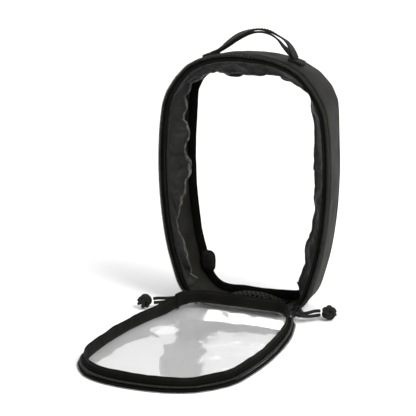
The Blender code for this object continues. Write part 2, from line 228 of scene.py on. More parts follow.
def ribbed_paint(name, dark, light, pitch, depth, roughness, sheen, axis=0):
    """Grosgrain tape: ribs across its length over fine fibres."""
    paint = Paint(name, dark, roughness)
    ribs = paint.ribs(pitch, axis)
    patches = paint.level(paint.noise(55, 3), 0.35, 0.7)
    # Colour share: painted highlight on the rib crests and painted shade between the ribs, plus random
    # patches.
    share = paint.blend(ribs, 0.5, patches, 0.5)
    paint.vary(share, dark, light)
    paint.bump(ribs, depth)
    paint.bump(paint.noise(2400, 2), 0.00006, 0.6)
    paint.set("Sheen Weight", sheen)
    paint.set("Sheen Roughness", 0.4)
    return paint.mat


def facing_paint():
    paint = Paint("facing_cloth", (0.006, 0.006, 0.006), 0.5)
    yarns = paint.yarns(0.0006)
    crease = paint.noise(60, 3, stretch=(1, 1, 0.4))
    # Colour: painted sheen on the folds, lighter where the crease bump rises, and painted highlight on the
    # yarn crests.
    share = paint.math("ADD", paint.level(crease, 0.35, 0.7, 0, 0.7), paint.math("MULTIPLY", yarns, 0.3))
    paint.vary(share, (0.002, 0.002, 0.0015), (0.008, 0.008, 0.007))
    paint.bump(crease, 0.0028, 0.5)
    paint.bump(yarns, 0.00006)
    paint.rough(crease, 0.36, 0.62)
    paint.set("Sheen Weight", 0.04)
    paint.set("Specular IOR Level", 0.22)
    return paint.mat


def hem_paint():
    paint = Paint("hem_cloth", (0.30, 0.30, 0.295), 0.5)
    tone = paint.level(paint.noise(220, 4), 0.35, 0.7)
    paint.vary(tone, (0.03, 0.03, 0.028), (0.13, 0.13, 0.125))
    paint.bump(paint.ribs(0.0011), 0.00012)
    paint.rough(tone, 0.38, 0.6)
    return paint.mat


def webbing_paint():
    """Herringbone webbing: two slants of yarn that meet along the middle."""
    paint = Paint("webbing", (0.02, 0.02, 0.02), 0.55)
    place = paint.place("UV", (1, 1, 1))
    parts = paint.add("SeparateXYZ", {0: place})
    fold = paint.math("PINGPONG", parts.outputs[1], 0.0015)
    slant = paint.math("MULTIPLY", paint.math("ADD", parts.outputs[0], fold), math.pi / 0.0011)
    ribs = paint.math("ABSOLUTE", paint.math("SINE", slant))
    patches = paint.level(paint.noise(90, 4), 0.35, 0.7)
    # Colour share: painted highlight on the rib crests and painted shade between the ribs, plus random
    # patches.
    share = paint.blend(ribs, 0.6, patches, 0.35)
    paint.vary(share, (0.002, 0.002, 0.0016), (0.018, 0.018, 0.015))
    paint.bump(ribs, 0.00028)
    paint.bump(paint.noise(2500, 2), 0.00005, 0.5)
    paint.rough(ribs, 0.66, 0.46)
    paint.set("Sheen Weight", 0.01)
    paint.set("Specular IOR Level", 0.08)
    return paint.mat


def cord_paint():
    """Braided cord: two sets of strands wound opposite ways."""
    paint = Paint("braided_cord", (0.015, 0.015, 0.015), 0.6)
    parts = paint.add("SeparateXYZ", {0: paint.place("UV", (1, 1, 1))})
    along = paint.math("MULTIPLY", parts.outputs[0], 1 / 0.0016)
    around = paint.math("MULTIPLY", parts.outputs[1], 8.0)
    one = paint.math("SINE", paint.math("MULTIPLY", paint.math("ADD", along, around), math.pi))
    two = paint.math("SINE", paint.math("MULTIPLY", paint.math("SUBTRACT", along, around), math.pi))
    braid = paint.math("MULTIPLY", paint.math("ABSOLUTE", one), paint.math("ABSOLUTE", two))
    # The colour follows the braid's relief: painted highlight on the strand crowns and painted shade where
    # the strands cross.
    paint.vary(braid, (0.002, 0.002, 0.002), (0.032, 0.031, 0.028))
    paint.bump(braid, 0.00035)
    paint.set("Sheen Weight", 0.05)
    return paint.mat


def plastic_paint(name, dark, light, roughness):
    paint = Paint(name, dark, roughness)
    tone = paint.level(paint.noise(900, 3), 0.4, 0.7)
    paint.vary(tone, dark, light)
    paint.bump(tone, 0.00004)
    paint.rough(tone, roughness - 0.08, roughness + 0.12)
    paint.set("Specular IOR Level", 0.4)
    return paint.mat


def lacquer_paint():
    """Black lacquered metal, rubbed through to grey in small scratches."""
    paint = Paint("lacquered_metal", (0.02, 0.02, 0.02), 0.3, 0.6)
    scratch = paint.level(paint.noise(700, 6, stretch=(1, 1, 5)), 0.60, 0.72)
    paint.vary(scratch, (0.016, 0.016, 0.016), (0.22, 0.22, 0.22))
    paint.rough(scratch, 0.26, 0.5)
    paint.bump(scratch, 0.00003)
    return paint.mat


def nickel_paint():
    paint = Paint("nickel", (0.6, 0.6, 0.62), 0.22, 1.0)
    tone = paint.noise(400, 5)
    paint.vary(tone, (0.48, 0.48, 0.50), (0.70, 0.70, 0.72))
    paint.rough(tone, 0.14, 0.36)
    return paint.mat


def film_paint(name, least, most, wave):
    """Clear film: see-through head on, mirroring more at a slant, with soft ripples and faint dust."""
    paint = Paint(name, (0.96, 0.965, 0.96), 0.09, 0.95)
    slant = paint.add("LayerWeight", {"Blend": 0.30}).outputs["Fresnel"]
    dust = paint.level(paint.noise(420, 6), 0.58, 0.80, 0.0, 0.04)
    alpha = paint.math("ADD", paint.level(slant, 0.02, 0.6, least, most), dust)
    paint.links.new(alpha, paint.shader.inputs["Alpha"])
    ripple = paint.noise(24, 2)
    paint.bump(ripple, wave)
    return paint.mat


MATERIALS = {}


def make_materials():
    MATERIALS.update(
        shell=cloth_paint("ballistic_nylon", (0.004, 0.004, 0.003), (0.030, 0.029, 0.024),
                          0.0013, 0.00024, 0.62, 0.02),
        patch=cloth_paint("pocket_nylon", (0.003, 0.003, 0.003), (0.015, 0.015, 0.014),
                          0.0010, 0.00018, 0.65, 0.02, kind="Object"),
        binding=ribbed_paint("grosgrain", (0.0008, 0.0008, 0.0006), (0.006, 0.006, 0.005),
                             0.0009, 0.00016, 0.74, 0.004),
        rim=cloth_paint("rim_nylon", (0.0015, 0.0015, 0.0012), (0.010, 0.010, 0.0085),
                        0.0009, 0.00016, 0.66, 0.008),
        facing=facing_paint(),
        hem=hem_paint(),
        zip_tape=cloth_paint("zip_tape_weave", (0.0006, 0.0006, 0.0005), (0.005, 0.005, 0.004),
                             0.0007, 0.00010, 0.75, 0.004, turn=math.radians(45)),
        zip_coil=plastic_paint("nylon_coil", (0.006, 0.006, 0.005), (0.018, 0.018, 0.016), 0.34),
        thread=ribbed_paint("thread", (0.007, 0.007, 0.006), (0.045, 0.044, 0.040),
                            0.0004, 0.00008, 0.55, 0.05),
        net=cloth_paint("net_yarn", (0.006, 0.006, 0.006), (0.050, 0.050, 0.047),
                        0.0005, 0.00010, 0.5, 0.05, kind="Object"),
        webbing=webbing_paint(),
        cord=cord_paint(),
        metal=lacquer_paint(),
        magnet=nickel_paint(),
        lid_film=film_paint("lid_film", 0.06, 0.62, 0.0012),
        rear_film=film_paint("rear_film", 0.03, 0.50, 0.0006),
        # The lip's pale grey is a painted highlight along the edge of the clear film.
        lip=plastic_paint("film_lip", (0.10, 0.10, 0.10), (0.30, 0.31, 0.30), 0.25),
    )


# ---------------------------------------------------------------- outlines read from the frame

COUNT = 480


def ring_of(node, v, sign=1.0, count=COUNT):
    """A node's outer outline in the plane of X and axis v, anticlockwise from the middle of its foot."""
    flat = [Vector((p.co.x, sign * p.co[v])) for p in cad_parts[node].data.vertices]
    hull = np.array([flat[i] for i in convex_hull_2d(flat)])
    low, high = hull[:, 1].min(), hull[:, 1].max()
    angle = (np.arctan2(hull[:, 1] - (low + high) / 2, hull[:, 0]) + math.pi / 2) % (2 * math.pi)
    hull = hull[np.argsort(angle)]
    foot = np.array([[0.0, low]])
    hull = hull[np.abs(hull - foot).sum(1) > MM]
    loop = np.vstack([foot, hull, foot])
    length = np.concatenate([[0], np.cumsum(np.linalg.norm(np.diff(loop, axis=0), axis=1))])
    at = np.linspace(0, length[-1], count, endpoint=False)
    ring = np.stack([np.interp(at, length, loop[:, k]) for k in (0, 1)], 1)
    kernel = np.hanning(9) / np.hanning(9).sum()
    wrapped = np.vstack([ring[-4:], ring, ring[:4]])
    return np.stack([np.convolve(wrapped[:, k], kernel, "valid") for k in (0, 1)], 1)


def inward(ring):
    along = np.roll(ring, -1, 0) - np.roll(ring, 1, 0)
    along /= np.linalg.norm(along, axis=1)[:, None]
    return np.stack([-along[:, 1], along[:, 0]], 1)


FRONT_RING = ring_of("front_piping", 2)
REAR_RING = ring_of("rear_border", 2)
LID_RING = ring_of("lid_rim_band", 1, -1.0)
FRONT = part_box("body_zip_tape")[0].y - 0.9 * MM
FRONT_AT = sum(c.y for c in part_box("front_piping")) / 2
REAR_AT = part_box("rear_border")[0].y
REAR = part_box("rear_border")[1].y
RIM_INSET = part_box("lid_edge_piping")[1].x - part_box("lid_rim_band")[1].x
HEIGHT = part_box("front_piping")[1].z
HINGE_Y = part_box("lid_rim_band")[1].y
ARC = np.linalg.norm(np.roll(FRONT_RING, -1, 0) - FRONT_RING, axis=1).sum()
AT = np.arange(COUNT) / COUNT * ARC


def body_ring(y, by):
    """The body's outline at a depth and an inset, each a number or one for every point."""
    y = np.broadcast_to(np.asarray(y, float), COUNT)
    by = np.broadcast_to(np.asarray(by, float), COUNT)
    t = ((y - FRONT_AT) / (REAR_AT - FRONT_AT))[:, None]
    flat = FRONT_RING * (1 - t) + REAR_RING * t
    flat = flat + inward(flat) * by[:, None]
    return np.stack([flat[:, 0], y, flat[:, 1]], 1)


def lid_ring(z, by):
    """The lid's outline at a height, inset from its outer edge. It rises a little where it is sewn on."""
    z = np.broadcast_to(np.asarray(z, float), COUNT)
    by = np.broadcast_to(np.asarray(by, float), COUNT)
    flat = LID_RING + inward(LID_RING) * (by - RIM_INSET)[:, None]
    lifted = hinge_rise(-flat[:, 1]) * np.clip((by - 1.5 * MM) / (3.7 * MM), 0, 1)
    return np.stack([flat[:, 0], -flat[:, 1], z + lifted], 1)


def hinge_rise(y):
    """How far the lid is lifted off the ground beside its hinge."""
    near = np.clip((np.asarray(y) - HINGE_Y + 36 * MM) / (34 * MM), 0, 1)
    return 5.4 * MM * near * near * (3 - 2 * near)


def zip_stretch(low_z):
    """The points of the body's ring that the zip follows, from the right foot corner to the left one."""
    inside = np.where(FRONT_RING[:, 1] > low_z)[0]
    return np.arange(inside[0], inside[-1] + 1)


def ripple(scale, seed, at=AT, octaves=2):
    """Smooth noise round a ring, about -1 to 1."""
    turn = at / ARC * 2 * math.pi
    radius = ARC / (2 * math.pi) / scale
    values = [
        noise.fractal(Vector((radius * math.cos(t), radius * math.sin(t), seed * 7.31)), 1.0, 2.0, octaves)
        for t in turn
    ]
    return np.array(values) * 1.6


# ---------------------------------------------------------------- meshes


def add_object(name, mesh, material, smooth=True):
    obj = bpy.data.objects.new(name, mesh)
    scene.collection.objects.link(obj)
    mesh.materials.append(MATERIALS[material] if isinstance(material, str) else material)
    if smooth:
        mesh.shade_smooth()
        mesh.set_sharp_from_angle(angle=math.radians(50))
    return obj


def lengths(points):
    points = np.asarray(points)
    return np.concatenate([[0], np.cumsum(np.linalg.norm(np.diff(points, axis=0), axis=1))])


def surface(name, rows, material, closed=True, thick=0.0, offset=0.0, skip=None):
    """A sheet through rows of points, with its texture measured in metres along and across it."""
    rows = [np.asarray(r, float) for r in rows]
    count = len(rows[0])
    points = np.concatenate(rows)
    middle = np.array([r[count // 2] for r in rows])
    along = lengths(np.vstack([rows[0], rows[0][:1]]))
    across = lengths(middle)
    faces, texture = [], []
    for j in range(len(rows) - 1):
        for i in range(count if closed else count - 1):
            n = (i + 1) % count
            face = (j * count + i, j * count + n, (j + 1) * count + n, (j + 1) * count + i)
            if skip is not None and skip(points[list(face)].mean(0)):
                continue
            faces.append(face)
            texture += [(along[i], across[j]), (along[i + 1], across[j]),
                        (along[i + 1], across[j + 1]), (along[i], across[j + 1])]
    mesh = bpy.data.meshes.new(name)
    mesh.from_pydata(points.tolist(), [], faces)
    layer = mesh.uv_layers.new(name="metres")
    layer.data.foreach_set("uv", np.array(texture, np.float32).ravel())
    obj = add_object(name, mesh, material)
    if thick:
        thicken(obj, thick, offset)
    return obj


def thicken(obj, thick, offset=0.0):
    solid = obj.modifiers.new("thickness", "SOLIDIFY")
    solid.thickness = thick
    solid.offset = offset
    return solid


def band(name, rows, material, closed=True):
    """A closed solid whose section runs through all the rows and back to the first."""
    return surface(name, [*rows, rows[0]], material, closed)


def frames_along(points, closed, up=Vector((0, 0, 1))):
    """A side and an up direction at each point of a path, carried along without twisting."""
    points = [Vector(p) for p in points]
    count = len(points)
    side = None
    out = []
    for i in range(count):
        after = points[(i + 1) % count] if closed or i + 1 < count else points[i]
        before = points[i - 1] if closed or i else points[i]
        along = (after - before).normalized()
        if side is None:
            side = along.cross(up)
            if side.length < 0.3:
                side = along.cross(Vector((1, 0, 0)))
        side = (side - along * side.dot(along)).normalized()
        out.append((side, side.cross(along).normalized()))
    return out


def tube(name, points, radius, material, sides=10, closed=False, squeeze=1.0):
    """A round or flattened tube along a path, its texture in metres along and turns around."""
    count = len(points)
    radii = np.broadcast_to(np.asarray(radius, float), count)
    ways = frames_along(points, closed)
    rows = []
    for k in range(sides + 1):
        a = 2 * math.pi * k / sides
        rows.append([
            Vector(p) + float(r) * (s * math.cos(a) + u * math.sin(a) * squeeze)
            for p, r, (s, u) in zip(points, radii, ways)
        ])
    mesh = bpy.data.meshes.new(name)
    verts = [v for row in rows[:-1] for v in row]
    along = lengths([*points, points[0]])
    faces, texture = [], []
    for k in range(sides):
        n = (k + 1) % sides
        for i in range(count if closed else count - 1):
            j = (i + 1) % count
            faces.append((k * count + i, k * count + j, n * count + j, n * count + i))
            texture += [(along[i], k / sides), (along[i + 1], k / sides),
                        (along[i + 1], (k + 1) / sides), (along[i], (k + 1) / sides)]
    if not closed:
        faces.append([k * count for k in range(sides)])
        faces.append([k * count + count - 1 for k in reversed(range(sides))])
        texture += [(0, k / sides) for k in range(sides)] * 2
    mesh.from_pydata(verts, [], faces)
    layer = mesh.uv_layers.new(name="metres")
    layer.data.foreach_set("uv", np.array(texture, np.float32).ravel())
    bm = bmesh.new()
    bm.from_mesh(mesh)
    bmesh.ops.recalc_face_normals(bm, faces=bm.faces)
    bm.to_mesh(mesh)
    bm.free()
    return add_object(name, mesh, material)


def smooth_path(points, steps=4, closed=False):
    pts = [Vector(p) for p in points]
    count = len(pts)
    out = []
    for i in range(count if closed else count - 1):
        a = pts[i - 1] if closed or i > 0 else 2 * pts[0] - pts[1]
        b, c = pts[i], pts[(i + 1) % count]
        d = pts[(i + 2) % count] if closed or i + 2 < count else 2 * pts[-1] - pts[-2]
        for k in range(steps):
            t = k / steps
            out.append(0.5 * (2 * b + (c - a) * t + (2 * a - 5 * b + 4 * c - d) * t**2
                              + (3 * b - a - 3 * c + d) * t**3))
    return out if closed else out + [pts[-1]]


def spaced(points, step, closed=False):
    """Points a fixed distance apart along a path."""
    loop = np.array([list(p) for p in points] + ([list(points[0])] if closed else []))
    length = lengths(loop)
    at = np.arange(step / 2, length[-1], step)
    return np.stack([np.interp(at, length, loop[:, k]) for k in range(3)], 1)


def stitches(name, points, pitch=3.0 * MM, size=(2.2 * MM, 0.34 * MM), closed=False, material="thread",
             slant=0.0, face=None):
    """A line of thread stitches, each a slim bead that dips into the cloth at its ends."""
    path = spaced(points, pitch, closed)
    bm = bmesh.new()
    count = len(path)
    for i, p in enumerate(path):
        before = path[i - 1] if closed or i else path[i]
        after = path[(i + 1) % count] if closed or i + 1 < count else path[i]
        along = Vector(after - before)
        if along.length < 1e-6:
            continue
        along.normalize()
        out = Vector(face) if face is not None else Vector((0, 0, 1))
        side = along.cross(out)
        if side.length < 0.1:
            side = along.cross(Vector((0, 1, 0)))
        side.normalize()
        along = (along + side * slant).normalized()
        side = along.cross(side.cross(along)).normalized()
        up = side.cross(along)
        half, thick = size[0] / 2, size[1]
        rings = []
        for t in (-1.0, -0.6, 0.0, 0.6, 1.0):
            r = thick * (1 - 0.55 * t * t)
            centre = Vector(p) + along * half * t - up * thick * 0.4 * t * t
            rings.append([
                bm.verts.new(centre + r * (side * math.cos(a) + up * math.sin(a)))
                for a in (2 * math.pi * k / 6 for k in range(6))
            ])
        for a, b in zip(rings, rings[1:]):
            for k in range(6):
                n = (k + 1) % 6
                bm.faces.new((a[k], a[n], b[n], b[k]))
        bm.faces.new(rings[0][::-1])
        bm.faces.new(rings[-1])
    bmesh.ops.recalc_face_normals(bm, faces=bm.faces)
    mesh = bpy.data.meshes.new(name)
    bm.to_mesh(mesh)
    bm.free()
    return add_object(name, mesh, material)


def helix(points, wide, tall, pitch, out_of, steps=9):
    """A coil wound about a path: wide across it, tall along the direction out_of."""
    path = np.array([list(p) for p in points])
    length = lengths(path)
    turns = int(length[-1] / pitch)
    at = np.linspace(0, length[-1], turns * steps)
    centre = np.stack([np.interp(at, length, path[:, k]) for k in range(3)], 1)
    along = np.gradient(centre, axis=0)
    along /= np.linalg.norm(along, axis=1)[:, None]
    out = np.broadcast_to(np.array(out_of, float), centre.shape)
    side = np.cross(along, out)
    turn = np.arange(len(at)) / steps * 2 * math.pi
    return centre + side * (np.cos(turn) * wide / 2)[:, None] + out * (np.sin(turn) * tall / 2)[:, None]


def wire(name, points, radius, material, closed=False):
    """A thin round wire as a bevelled curve."""
    curve = bpy.data.curves.new(name, "CURVE")
    curve.dimensions = "3D"
    curve.bevel_depth = radius
    curve.bevel_resolution = 1
    curve.use_fill_caps = True
    spline = curve.splines.new("POLY")
    spline.points.add(len(points) - 1)
    spline.use_cyclic_u = closed
    flat = np.ones((len(points), 4), np.float32)
    flat[:, :3] = [list(p) for p in points]
    spline.points.foreach_set("co", flat.ravel())
    obj = bpy.data.objects.new(name, curve)
    curve.materials.append(MATERIALS[material])
    scene.collection.objects.link(obj)
    return obj


def wear(obj, body, slot, *nodes):
    """The piece rides on a body and stands for CAD nodes, which are hidden. The slot is not used."""
    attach(obj, body)
    if nodes:
        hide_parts(*nodes)
    return obj


def drape(obj, pins, grow, frames=20, bend=0.05, gravity=0.0, cap=3 * MM):
    """Lets the cloth grow a little between its pins, so that it buckles into folds, and keeps the result."""
    rest = np.zeros(len(obj.data.vertices) * 3, np.float32)
    obj.data.vertices.foreach_get("co", rest)
    group = obj.vertex_groups.new(name="pin")
    for index, weight in pins:
        group.add([int(index)], float(weight), "REPLACE")
    cloth = obj.modifiers.new("cloth", "CLOTH")
    cloth.settings.quality = 5
    cloth.settings.mass = 0.1
    cloth.settings.tension_stiffness = 15
    cloth.settings.compression_stiffness = 15
    cloth.settings.shear_stiffness = 5
    cloth.settings.bending_stiffness = bend
    cloth.settings.vertex_group_mass = "pin"
    cloth.settings.shrink_min = -grow
    cloth.settings.effector_weights.gravity = gravity
    cloth.collision_settings.use_collision = False
    cloth.point_cache.frame_start = 1
    cloth.point_cache.frame_end = frames
    for number in range(1, frames + 1):
        scene.frame_set(number)
    shape = obj.evaluated_get(bpy.context.evaluated_depsgraph_get()).to_mesh()
    moved = np.zeros_like(rest)
    shape.vertices.foreach_get("co", moved)
    obj.modifiers.remove(cloth)
    scene.frame_set(1)
    step = (moved - rest).reshape(-1, 3)
    size = np.linalg.norm(step, axis=1)
    step *= np.minimum(1, cap / np.maximum(size, 1e-9))[:, None]
    obj.data.vertices.foreach_set("co", (rest + step.ravel()).astype(np.float32))
    obj.data.update()


# ---------------------------------------------------------------- cords and knots

CORD = 0.0031
CORD_ROUTES = {
    "right": [
        (0.0757, -0.0227, 0.0091), (0.0738, -0.0243, 0.0093), (0.0718, -0.0262, 0.0093),
        (0.0698, -0.0282, 0.0090), (0.0676, -0.0302, 0.0085), (0.0652, -0.0318, 0.0081),
        (0.0627, -0.0327, 0.0079), (0.0604, -0.0335, 0.0079), (0.0590, -0.0352, 0.0079),
        (0.0593, -0.0374, 0.0079), (0.0604, -0.0391, 0.0079), (0.0622, -0.0393, 0.0078),
        (0.0640, -0.0381, 0.0073), (0.0658, -0.0360, 0.0066), (0.0676, -0.0336, 0.0060),
        (0.0697, -0.0312, 0.0057), (0.0720, -0.0286, 0.0056), (0.0744, -0.0262, 0.0057),
        (0.0762, -0.0241, 0.0058),
    ],
    "left": [
        (-0.0782, -0.0499, 0.0092), (-0.0760, -0.0478, 0.0094), (-0.0736, -0.0457, 0.0092),
        (-0.0715, -0.0434, 0.0088), (-0.0694, -0.0409, 0.0083), (-0.0673, -0.0385, 0.0080),
        (-0.0651, -0.0360, 0.0079), (-0.0626, -0.0343, 0.0079), (-0.0602, -0.0340, 0.0079),
        (-0.0588, -0.0355, 0.0079), (-0.0590, -0.0375, 0.0079), (-0.0604, -0.0391, 0.0078),
        (-0.0629, -0.0396, 0.0074), (-0.0656, -0.0406, 0.0066), (-0.0684, -0.0427, 0.0059),
        (-0.0714, -0.0453, 0.0057), (-0.0745, -0.0479, 0.0057), (-0.0775, -0.0503, 0.0057),
    ],
}


def make_knot(side):
    """A fist of cord: one strand woven three times round, over a packed core, with two short tails."""
    low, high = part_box(f"pull_knot_{side}")
    centre, radius = (low + high) / 2, (high.x - low.x) / 2
    strand = CORD * 0.53
    major, minor = radius * 0.50, radius * 0.28
    points = []
    count = 150
    for k in range(count):
        t = 2 * math.pi * k / count
        r = major + minor * math.cos(5 * t)
        points.append(Vector((r * math.cos(3 * t), r * math.sin(3 * t), minor * 1.75 * math.sin(5 * t))))
    lean = Matrix.Rotation(math.radians(62 if side == "right" else 48), 4, "X")
    lean = Matrix.Rotation(math.radians(35 if side == "right" else -30), 4, "Z") @ lean
    path = [centre + lean @ p for p in points]
    knot = wear(tube(f"knot_{side}_strand", path, strand, "cord", 10, True), f"zip_pull_{side}", "cord",
                f"pull_knot_{side}")
    bm = bmesh.new()
    bmesh.ops.create_icosphere(bm, subdivisions=3, radius=radius * 0.62)
    for v in bm.verts:
        v.co *= 1 + 0.06 * noise.noise(v.co * 400)
    bm.transform(Matrix.Translation(centre))
    mesh = bpy.data.meshes.new(f"knot_{side}_core")
    bm.to_mesh(mesh)
    bm.free()
    core = wear(add_object(f"knot_{side}_core", mesh, "cord"), f"zip_pull_{side}", "cord")
    ends = []
    heading = (centre - Vector(CORD_ROUTES[side][0])).normalized()
    for number, lift in enumerate((0.75, -0.25)):
        start = centre + heading * radius * 0.35
        way = (heading + Vector((0, 0, lift))).normalized()
        tail = [start + way * radius * t for t in (0.0, 0.25, 0.5, 0.72)]
        radii = [strand, strand, strand * 0.95, strand * 0.62]
        end = tube(f"knot_{side}_tail_{number + 1}", tail, radii, "cord", 10)
        ends.append(wear(end, f"zip_pull_{side}", "cord"))
    return [knot, core, *ends]


def make_cords():
    for side in ("left", "right"):
        knot = make_knot(side)
        line = smooth_path(CORD_ROUTES[side], 4)
        cord = tube(f"cord_{side}", line, CORD / 2, "cord", 12)
        wear(cord, f"zip_pull_{side}", "cord", f"pull_cord_{side}")


# ---------------------------------------------------------------- the body of the bag


def make_gusset():
    low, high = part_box("side_gusset")
    net_low, net_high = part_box("floor_mesh")
    ys = sorted([low.y + (high.y - low.y) * k / 20 for k in range(21)] + [net_low.y, net_high.y])
    broad = [np.roll(ripple(0.036, seed), 9 * seed) for seed in (1, 2, 3, 4)]
    fine = [ripple(0.011, seed) for seed in (5, 6)]
    height = FRONT_RING[:, 1]
    free = np.clip((height - 0.016) / 0.03, 0, 1)
    rows = []
    for y in ys:
        t = (y - low.y) / (high.y - low.y)
        middle = math.sin(math.pi * t)
        k = t * 3
        first = int(min(k, 2))
        wave = broad[first] * (1 - (k - first)) + broad[first + 1] * (k - first)
        pucker = fine[0] * math.exp(-t / 0.14) + fine[1] * math.exp(-(1 - t) / 0.14)
        slant = np.roll(ripple(0.019, 7), round(-14 * t))
        by = (1.1 * MM * wave + 0.5 * MM * slant - 0.5 * MM) * middle
        by = by + 0.25 * MM * pucker * min(1, 14 * t, 14 * (1 - t))
        rows.append(body_ring(y, np.where(free > 0, by * free, 0.0)))
    shell = surface("gusset_cloth", rows, "shell", skip=lambda c: (
        net_low.x < c[0] < net_high.x and net_low.y < c[1] < net_high.y and c[2] < 3 * MM))
    thicken(shell, 1.3 * MM, -1.0 if outward(shell) else 1.0)
    wear(shell, "bag", "shell", "side_gusset")
    for name, y in (("gusset_stitching_front", low.y + 3.2 * MM),
                    ("gusset_stitching_rear", high.y - 4.0 * MM)):
        line = body_ring(y, -0.15 * MM)[zip_stretch(2 * MM)]
        wear(stitches(name, line, face=(0, 1, 0)), "bag", "shell")


def outward(obj):
    """True if the sheet's faces look away from the bag's middle line."""
    total = 0.0
    for face in obj.data.polygons:
        total += face.normal.x * face.center.x
    return total > 0


def make_front_ring():
    piping_low, piping_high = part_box("front_piping")
    y = (piping_low.y + piping_high.y) / 2
    radius = (piping_high.y - piping_low.y) / 2
    wobble = 0.12 * MM * ripple(0.012, 11)
    path = body_ring(y, radius + np.where(FRONT_RING[:, 1] > 4 * MM, wobble, 0))
    wear(tube("front_piping_cord", path, radius + 0.1 * MM, "binding", 12, True), "bag", "binding",
         "front_piping")

    run = zip_stretch(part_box("body_zip_tape")[0].z)
    tape_low, tape_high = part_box("body_zip_tape")
    y = (tape_low.y + tape_high.y) / 2
    lift = 0.25 * MM * ripple(0.018, 12)
    rows = [body_ring(y + lift * share, by * MM)[run]
            for by, share in ((0.3, 0.2), (1.9, 0.3), (3.5, 0.5), (5.1, 0.4), (6.7, 0.1))]
    tape = surface("zip_tape_body", rows, "zip_tape", False, 0.7 * MM)
    wear(tape, "bag", "zip_tape", "body_zip_tape")
    seam = body_ring(tape_low.y - 0.15 * MM, 5.4 * MM)[run]
    wear(stitches("zip_tape_stitching", seam, face=(0, -1, 0)), "bag", "zip_tape")

    coil_low, coil_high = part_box("body_zip_coil")
    y = (coil_low.y + coil_high.y) / 2
    centre = body_ring(y, 1.25 * MM)[run]
    coil = helix(centre, 2.6 * MM, 1.6 * MM, 1.5 * MM, (0, 1, 0))
    wear(wire("zip_coil_body", coil, 0.33 * MM, "zip_coil"), "bag", "zip_coil", "body_zip_coil")
    core = tube("zip_coil_core", centre, 0.55 * MM, "thread", 8)
    wear(core, "bag", "zip_coil")


def facing_profile():
    """Inset and depth across the facing, from its seam to its free edge, read from the frame."""
    low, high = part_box("facing_band")
    start, deep = low.y - FRONT, high.y - FRONT
    return [(7.0 * MM, start), (7.2 * MM, 5.0 * MM), (7.7 * MM, 8.4 * MM), (10.0 * MM, 11.6 * MM),
            (12.5 * MM, 14.4 * MM), (15.0 * MM, 17.0 * MM), (17.5 * MM, 19.6 * MM), (20.0 * MM, deep)]


def make_facing():
    run = zip_stretch(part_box("facing_band")[0].z + 0.5 * MM)
    x, z = FRONT_RING[:, 0], FRONT_RING[:, 1]
    left = np.clip((-x - 0.02) / 0.04, 0, 1)
    right = np.clip((x - 0.02) / 0.04, 0, 1)
    top = 1 - np.maximum(left, right)
    strength = left * 1.0 + top * 0.62 + right * 0.34
    big, small, tiny = ripple(0.034, 21), ripple(0.013, 22), ripple(0.0065, 23)
    depth_wave = ripple(0.024, 24)
    corner = np.exp(-(((z - 0.90 * HEIGHT) / (0.10 * HEIGHT)) ** 2)) * np.clip(np.abs(x) / 0.05, 0, 1)
    pulled = 7.0 * MM * np.where(x < 0, 0.6, 0.55) * corner
    lobes = ripple(0.062, 27)
    reach = 1 - left * (0.42 - 0.26 * lobes) * (1 - 0.5 * corner)
    profile = smooth_path([Vector((a, b, 0)) for a, b in facing_profile()], 2)
    total = len(profile) - 1
    rows = []
    for j, p in enumerate(profile):
        t = j / total
        fade = max(0.0, (t - 0.28) / 0.72) ** 1.25
        swing = (3.0 * big + 1.5 * small * (0.5 + right) + 0.5 * tiny) * MM * strength * fade
        back = (2.4 * depth_wave + 1.2 * small) * MM * strength * fade
        crease = 0.35 * MM * ripple(0.010, 30 + j * 0.35) * min(1, 3 * t) * strength
        deep = FRONT + profile[0].y + (p.y - profile[0].y) * reach + back
        across = profile[0].x + (p.x - profile[0].x) * reach + swing + crease - pulled * fade
        rows.append(body_ring(deep, across)[run])
    facing = surface("facing_cloth", rows, "facing", False)
    count = len(run)
    pins = [(j * count + i, 1.0) for j in range(4) for i in range(count)]
    drape(facing, pins, 0.06, 16, 0.02, 0.0, 3.0 * MM)
    points = np.array([list(v.co) for v in facing.data.vertices]).reshape(total + 1, count, 3)
    thicken(facing, 0.5 * MM)
    wear(facing, "bag", "facing", "facing_band")

    edge, inner = points[-1], points[-2]
    way = edge - inner
    way /= np.linalg.norm(way, axis=1)[:, None]
    wide = (1.5 + 1.6 * np.clip(ripple(0.02, 41)[run], 0, 1) * left[run]) * MM
    side = np.cross(way, np.gradient(edge, axis=0))
    side /= np.linalg.norm(side, axis=1)[:, None]
    hem_rows = []
    for a in np.linspace(-0.5 * math.pi, 0.5 * math.pi, 7):
        hem_rows.append(edge + way * (0.45 * MM * math.cos(a)) + side * (0.62 * MM * math.sin(a)))
    front = edge - way * wide[:, None]
    hem = surface("facing_hem_edge",
                  [front + side * (-0.62 * MM), *hem_rows, front + side * (0.62 * MM)],
                  "hem", False, 0.3 * MM)
    wear(hem, "bag", "hem", "facing_hem")
    deep = float(np.mean([lengths(points[:, i])[-1] for i in range(0, count, 20)]))


